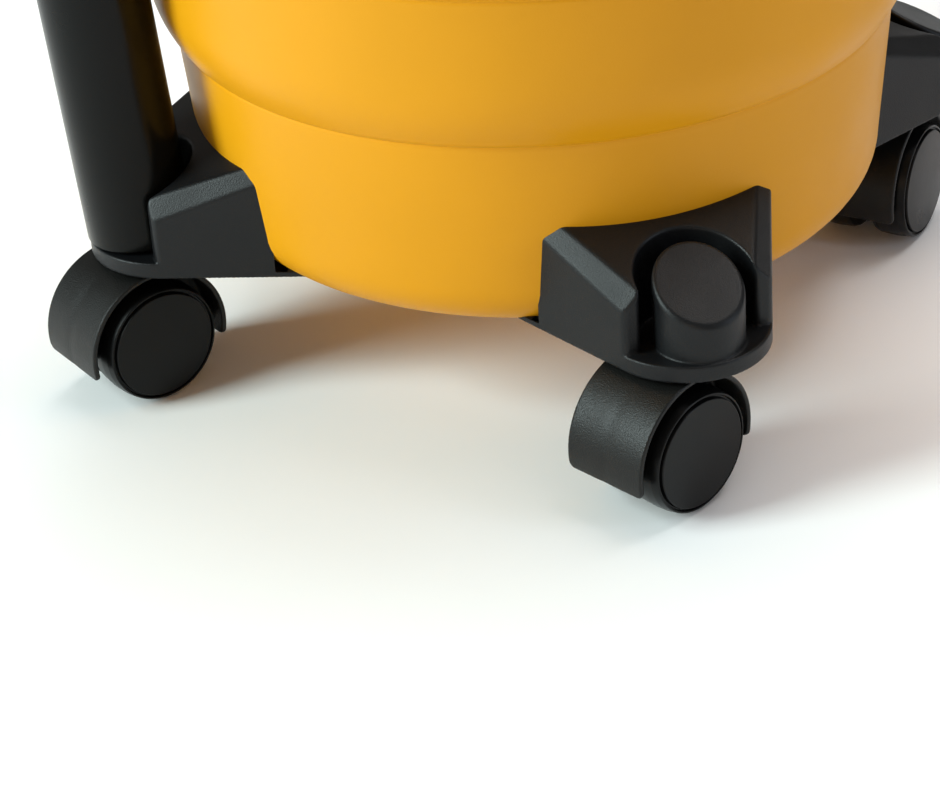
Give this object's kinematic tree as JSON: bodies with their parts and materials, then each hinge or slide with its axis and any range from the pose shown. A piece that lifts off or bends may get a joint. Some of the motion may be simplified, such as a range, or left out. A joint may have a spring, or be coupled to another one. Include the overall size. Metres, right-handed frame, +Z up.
{
  "type": "shop vacuum",
  "caption": "Wet and dry shop vacuum: round moulded tub on swivel caster feet, latched lift-off motor head, carry handle and a storage wand.",
  "frame": {"origin": "on the floor, on the tub's axis, at the middle of the overall box", "axes": "+Z up, hose inlet and switch face -Y, latches on +X and -X"},
  "size_m": [0.424, 0.436, 0.6185],
  "materials": {
    "tub_plastic": "satin moulded polypropylene, yellow",
    "foot_plastic": "fine-grained moulded black",
    "wheel_plastic": "smooth satin black nylon",
    "wand_plastic": "semi-gloss black tube",
    "head_plastic": "grained moulded black",
    "trim_plastic": "dark grey moulded trim",
    "rubber": "soft black rubber",
    "steel": "zinc plated steel",
    "motor_steel": "motor frame and windings",
    "fan_alloy": "pressed aluminium",
    "filter_paper": "pleated filter paper",
    "switch_red": "glossy red"
  },
  "bodies": {
    "tub": {"tub": "tub_plastic", "inlet_port": "head_plastic", "inlet_deflector": "head_plastic", "drain_spout": "head_plastic", "drain_washer": "rubber", "foot_front_right": "foot_plastic", "foot_front_left": "foot_plastic", "foot_rear_right": "foot_plastic", "foot_rear_left": "foot_plastic", "caster_socket_front_right": "steel", "caster_socket_front_left": "steel", "caster_socket_rear_right": "steel", "caster_socket_rear_left": "steel"},
    "head": {"lid": "head_plastic", "rim_seal": "rubber", "latch_pin_right": "steel", "latch_pin_left": "steel", "motor_cover": "head_plastic", "handle": "trim_plastic", "handle_grip": "rubber", "switch_bezel": "trim_plastic", "cord_gland": "rubber", "cord_hook": "head_plastic", "exhaust_port": "head_plastic", "filter_cage": "trim_plastic", "filter_cartridge": "filter_paper", "filter_retainer": "head_plastic", "motor_gasket": "rubber", "fan_housing": "trim_plastic", "motor_can": "motor_steel"},
    "wand": {"wand": "wand_plastic"},
    "drain_cap": {"drain_cap": "head_plastic"},
    "latch_right": {"latch_right": "trim_plastic"},
    "latch_left": {"latch_left": "trim_plastic"},
    "switch_rocker": {"switch_rocker": "switch_red"},
    "float": {"float": "trim_plastic"},
    "filter_nut": {"filter_nut": "head_plastic"},
    "rotor": {"armature": "motor_steel", "impeller": "fan_alloy"},
    "caster_front_right": {"caster_hood_front_right": "foot_plastic", "caster_stem_front_right": "steel", "caster_axle_front_right": "steel"},
    "wheel_outer_front_right": {"wheel_outer_front_right": "wheel_plastic"},
    "wheel_inner_front_right": {"wheel_inner_front_right": "wheel_plastic"},
    "caster_front_left": {"caster_hood_front_left": "foot_plastic", "caster_stem_front_left": "steel", "caster_axle_front_left": "steel"},
    "wheel_outer_front_left": {"wheel_outer_front_left": "wheel_plastic"},
    "wheel_inner_front_left": {"wheel_inner_front_left": "wheel_plastic"},
    "caster_rear_right": {"caster_hood_rear_right": "foot_plastic", "caster_stem_rear_right": "steel", "caster_axle_rear_right": "steel"},
    "wheel_outer_rear_right": {"wheel_outer_rear_right": "wheel_plastic"},
    "wheel_inner_rear_right": {"wheel_inner_rear_right": "wheel_plastic"},
    "caster_rear_left": {"caster_hood_rear_left": "foot_plastic", "caster_stem_rear_left": "steel", "caster_axle_rear_left": "steel"},
    "wheel_outer_rear_left": {"wheel_outer_rear_left": "wheel_plastic"},
    "wheel_inner_rear_left": {"wheel_inner_rear_left": "wheel_plastic"}
  },
  "joints": [
    {"name": "head_lift", "type": "slide", "parent": "tub", "child": "head", "axis": [0, 0, 1], "range_m": [0, 0.2]},
    {"name": "wand_lift_out", "type": "slide", "parent": "tub", "child": "wand", "axis": [-0.0518, -0.0518, 0.9973], "range_m": [0, 0.08]},
    {"name": "drain_cap_turn", "type": "hinge", "parent": "tub", "child": "drain_cap", "pos_m": [0, 0.184, 0.104], "axis": [0, 1, 0], "range_deg": [0, 540]},
    {"name": "latch_right_open", "type": "hinge", "parent": "head", "child": "latch_right", "pos_m": [0.202, 0, 0.417], "axis": [0, -1, 0], "range_deg": [0, 95]},
    {"name": "latch_left_open", "type": "hinge", "parent": "head", "child": "latch_left", "pos_m": [-0.202, 0, 0.417], "axis": [0, 1, 0], "range_deg": [0, 95]},
    {"name": "switch_press", "type": "hinge", "parent": "head", "child": "switch_rocker", "pos_m": [0, -0.15023, 0.47576], "axis": [1, 0, 0], "range_deg": [0, 20]},
    {"name": "float_rise", "type": "slide", "parent": "head", "child": "float", "axis": [0, 0, 1], "range_m": [0, 0.082]},
    {"name": "filter_nut_turn", "type": "hinge", "parent": "head", "child": "filter_nut", "pos_m": [0, 0, 0.245], "axis": [0, 0, -1], "range_deg": [0, 720]},
    {"name": "rotor_spin", "type": "hinge", "parent": "head", "child": "rotor", "pos_m": [0, 0, 0.43], "axis": [0, 0, 1], "continuous": true},
    {"name": "swivel_front_right", "type": "hinge", "parent": "tub", "child": "caster_front_right", "pos_m": [0.13456, -0.13456, 0.06], "axis": [0, 0, 1], "continuous": true},
    {"name": "roll_outer_front_right", "type": "hinge", "parent": "caster_front_right", "child": "wheel_outer_front_right", "pos_m": [0.14206, -0.15883, 0.02943], "axis": [0.9453, -0.3261, 0], "continuous": true},
    {"name": "roll_inner_front_right", "type": "hinge", "parent": "caster_front_right", "child": "wheel_inner_front_right", "pos_m": [0.1137, -0.14905, 0.02943], "axis": [0.9453, -0.3261, 0], "continuous": true},
    {"name": "swivel_front_left", "type": "hinge", "parent": "tub", "child": "caster_front_left", "pos_m": [-0.13456, -0.13456, 0.06], "axis": [0, 0, 1], "continuous": true},
    {"name": "roll_outer_front_left", "type": "hinge", "parent": "caster_front_left", "child": "wheel_outer_front_left", "pos_m": [-0.13081, -0.15969, 0.02943], "axis": [0.8854, -0.4648, 0], "continuous": true},
    {"name": "roll_inner_front_left", "type": "hinge", "parent": "caster_front_left", "child": "wheel_inner_front_left", "pos_m": [-0.15737, -0.14574, 0.02943], "axis": [0.8854, -0.4648, 0], "continuous": true},
    {"name": "swivel_rear_right", "type": "hinge", "parent": "tub", "child": "caster_rear_right", "pos_m": [0.13456, 0.13456, 0.06], "axis": [0, 0, 1], "continuous": true},
    {"name": "roll_outer_rear_right", "type": "hinge", "parent": "caster_rear_right", "child": "wheel_outer_rear_right", "pos_m": [0.1488, 0.11353, 0.02943], "axis": [0.9993, -0.0366, 0], "continuous": true},
    {"name": "roll_inner_rear_right", "type": "hinge", "parent": "caster_rear_right", "child": "wheel_inner_rear_right", "pos_m": [0.11882, 0.11463, 0.02943], "axis": [0.9993, -0.0366, 0], "continuous": true},
    {"name": "swivel_rear_left", "type": "hinge", "parent": "tub", "child": "caster_rear_left", "pos_m": [-0.13456, 0.13456, 0.06], "axis": [0, 0, 1], "continuous": true},
    {"name": "roll_outer_rear_left", "type": "hinge", "parent": "caster_rear_left", "child": "wheel_outer_rear_left", "pos_m": [-0.13403, 0.10917, 0.02943], "axis": [0.8192, -0.5736, 0], "continuous": true},
    {"name": "roll_inner_rear_left", "type": "hinge", "parent": "caster_rear_left", "child": "wheel_inner_rear_left", "pos_m": [-0.15861, 0.12637, 0.02943], "axis": [0.8192, -0.5736, 0], "continuous": true}
  ]
}
